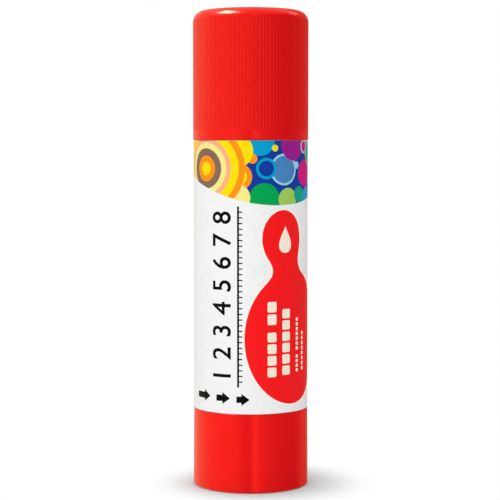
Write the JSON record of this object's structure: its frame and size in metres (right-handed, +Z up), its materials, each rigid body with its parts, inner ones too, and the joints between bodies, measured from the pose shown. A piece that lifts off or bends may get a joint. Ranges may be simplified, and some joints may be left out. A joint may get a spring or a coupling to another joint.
{
  "type": "glue stick",
  "caption": "Twist-up glue stick: fluted pull-off cap, labelled round barrel, and a twist base whose spindle lifts the glue on a carrier.",
  "frame": {"origin": "centre of the twist base's rim, on the surface that the stick stands on", "axes": "+Z up along the stick's axis, from the twist base to the cap; the label's front faces -Y"},
  "size_m": [0.0244, 0.0244, 0.1008],
  "materials": {
    "cap_red": "moulded red polypropylene, fine upright flutes, smooth glossy top and rim",
    "base_red": "moulded red polypropylene, smooth and glossy",
    "barrel_white": "moulded white polypropylene, satin",
    "label_film": "printed polypropylene film, satin gloss",
    "natural_polyethylene": "unpigmented polyethylene, milky and slightly waxy",
    "spindle_natural": "moulded natural polypropylene, satin",
    "carrier_natural": "moulded natural polypropylene, satin",
    "glue_mass": "cast glue, off-white, waxy and faintly translucent"
  },
  "bodies": {
    "body": {"barrel": "barrel_white", "label": "label_film"},
    "drive": {"twist_base": "base_red", "spindle": "spindle_natural"},
    "carriage": {"carrier": "carrier_natural", "glue": "glue_mass"},
    "cap": {"cap_shell": "cap_red", "cap_seal_plug": "natural_polyethylene"}
  },
  "joints": [
    {"name": "base_twist", "type": "hinge", "parent": "body", "child": "drive", "pos_m": [0, 0, 0], "axis": [0, 0, 1], "range_deg": [0, 4500]},
    {"name": "glue_rise", "type": "slide", "parent": "body", "child": "carriage", "axis": [0, 0, 1], "range_m": [0, 0.075]},
    {"name": "cap_pull", "type": "slide", "parent": "carriage", "child": "cap", "axis": [0, 0, 1], "range_m": [0, 0.035]}
  ],
  "couplings": [
    {"joint": "glue_rise", "follows": "base_twist", "m_per_rad": 0.00095493}
  ]
}
